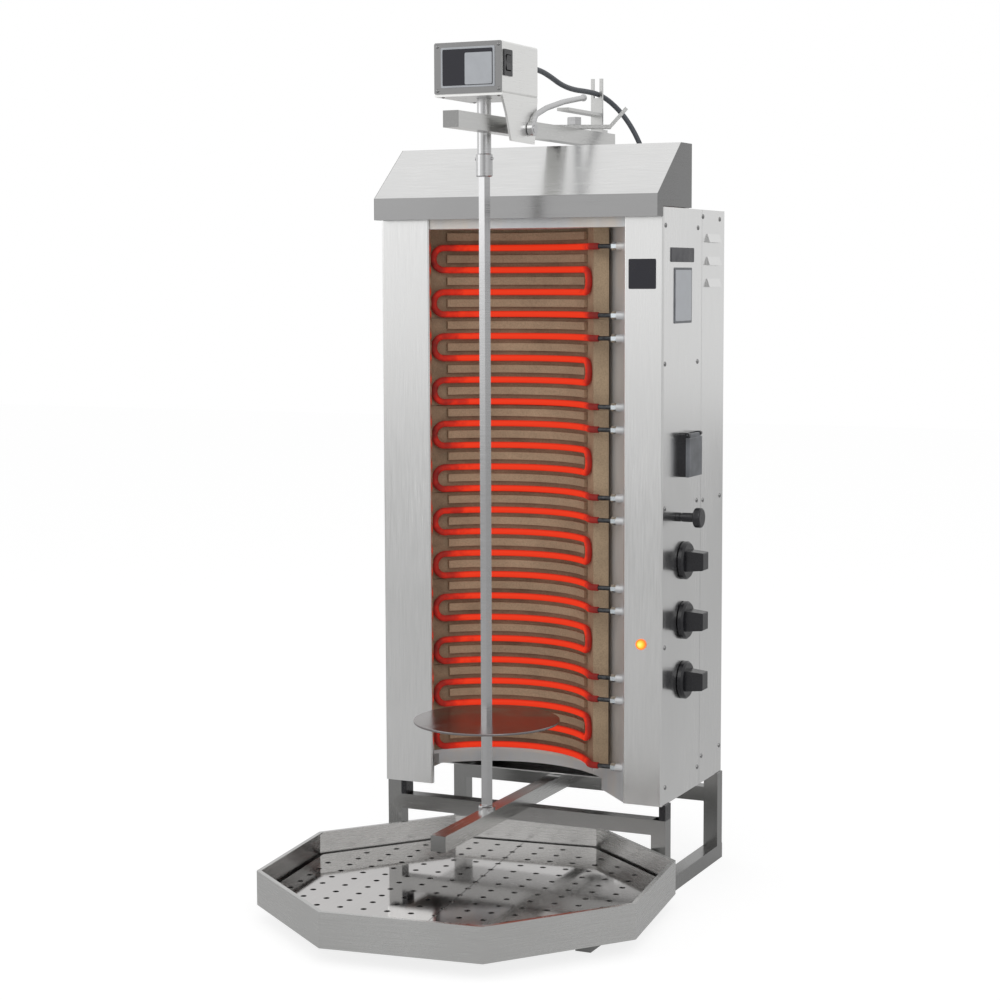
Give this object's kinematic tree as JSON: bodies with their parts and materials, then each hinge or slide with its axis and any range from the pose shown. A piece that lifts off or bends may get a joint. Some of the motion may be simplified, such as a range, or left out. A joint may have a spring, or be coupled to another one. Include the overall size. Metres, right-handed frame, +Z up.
{
  "type": "electric doner kebab grill",
  "caption": "Upright electric kebab grill: curved heater in a steel casing with hood, turning spit with top drive, tubular stand, drip tray and control knobs.",
  "frame": {"origin": "middle of the plan outline on the surface that the stand's rails rest on", "axes": "+Z up along the spit, +Y towards the rear column, +X towards the side with the knobs"},
  "size_m": [0.5122, 0.6832, 1.0925],
  "materials": {
    "stand_steel": "brushed, satin",
    "black_plastic": "fine matt",
    "bright_steel": "ground bright",
    "drive_steel": "brushed, satin",
    "cast_metal": "cast",
    "cable": "matt sheath",
    "panel_steel": "brushed, satin",
    "inner_steel": "dulled by heat",
    "fireclay": "dry, slightly rough",
    "element": "glowing oxide",
    "terminal": "blackened steel with bright nuts",
    "lamp": "clear orange lens",
    "tray_steel": "brushed, satin"
  },
  "bodies": {
    "stand": {"left_side_frame": "stand_steel", "right_side_frame": "stand_steel", "cross_bars": "stand_steel", "lower_arm": "stand_steel", "column": "stand_steel", "upper_arm": "stand_steel", "tube_caps": "black_plastic", "glides": "black_plastic", "foot_bearing": "bright_steel", "motor_bracket": "drive_steel", "pivot_bolt": "bright_steel", "motor_housing": "drive_steel", "motor_cover": "drive_steel", "gear_motor": "cast_metal", "rocker_frame": "black_plastic", "cable_glands": "black_plastic", "motor_cable": "cable", "cable_fork": "bright_steel", "clamp_bolt": "bright_steel"},
    "tray": {"fat_tray": "tray_steel", "tray_floor_left": "tray_steel", "tray_floor_right": "tray_steel"},
    "spit": {"drive_shaft": "bright_steel", "spit_rod": "bright_steel"},
    "disc": {"meat_disc": "bright_steel", "disc_screw": "bright_steel"},
    "lever": {"release_lever": "bright_steel"},
    "clamp": {"clamp_lever": "bright_steel"},
    "motor_switch": {"rocker": "black_plastic"},
    "heater": {"left_front_panel": "panel_steel", "right_front_panel": "panel_steel", "left_side_panel": "panel_steel", "control_panel": "panel_steel", "rear_cover": "panel_steel", "decks": "panel_steel", "left_reflector": "inner_steel", "right_reflector": "inner_steel", "cavity_plates": "inner_steel", "brick_carrier": "inner_steel", "hood": "panel_steel", "bricks": "fireclay", "element_1": "element", "element_2": "element", "element_3": "element", "element_4": "element", "element_5": "element", "element_6": "element", "terminals": "terminal", "heat_switches": "black_plastic", "lock_block": "bright_steel", "socket_housing": "black_plastic", "pilot_lamp": "lamp", "inlet_gland": "black_plastic"},
    "top_knob": {"upper_knob": "black_plastic"},
    "mid_knob": {"middle_knob": "black_plastic"},
    "low_knob": {"lower_knob": "black_plastic"},
    "lid": {"socket_lid": "black_plastic"},
    "slide_lock": {"lock_knob": "black_plastic"}
  },
  "joints": [
    {"name": "spit_spin", "type": "hinge", "parent": "stand", "child": "spit", "pos_m": [0, -0.02546, 0.13], "axis": [0, 0, 1], "continuous": true},
    {"name": "disc_height", "type": "slide", "parent": "spit", "child": "disc", "axis": [0, 0, 1], "range_m": [-0.08, 0.4]},
    {"name": "heater_slide", "type": "slide", "parent": "stand", "child": "heater", "axis": [0, 1, 0], "range_m": [-0.045, 0]},
    {"name": "tray_slide", "type": "slide", "parent": "stand", "child": "tray", "axis": [0, 1, 0], "range_m": [-0.12, 0]},
    {"name": "lever_swing", "type": "hinge", "parent": "stand", "child": "lever", "pos_m": [0.0505, 0.00854, 0.99], "axis": [1, 0, 0], "range_deg": [0, 55]},
    {"name": "clamp_turn", "type": "hinge", "parent": "stand", "child": "clamp", "pos_m": [0.02, 0.21654, 1.0035], "axis": [0, 0, 1], "range_deg": [-60, 35]},
    {"name": "motor_switch_rock", "type": "hinge", "parent": "stand", "child": "motor_switch", "pos_m": [0.043, -0.05546, 1.0665], "axis": [0, 1, 0], "range_deg": [-6, 6]},
    {"name": "top_knob_turn", "type": "hinge", "parent": "heater", "child": "top_knob", "pos_m": [0.2015, 0.15654, 0.4356], "axis": [-1, 0, 0], "range_deg": [0, 270]},
    {"name": "mid_knob_turn", "type": "hinge", "parent": "heater", "child": "mid_knob", "pos_m": [0.2015, 0.15654, 0.3566], "axis": [-1, 0, 0], "range_deg": [0, 270]},
    {"name": "low_knob_turn", "type": "hinge", "parent": "heater", "child": "low_knob", "pos_m": [0.2015, 0.15654, 0.2772], "axis": [-1, 0, 0], "range_deg": [0, 270]},
    {"name": "lid_swing", "type": "hinge", "parent": "heater", "child": "lid", "pos_m": [0.2107, 0.16554, 0.601], "axis": [0, -1, 0], "range_deg": [0, 100], "stiffness_Nm_per_rad": 0.02, "springref_deg": -11.46},
    {"name": "slide_lock_turn", "type": "hinge", "parent": "heater", "child": "slide_lock", "pos_m": [0.2008, 0.13004, 0.4954], "axis": [-1, 0, 0], "range_deg": [0, 180]}
  ]
}
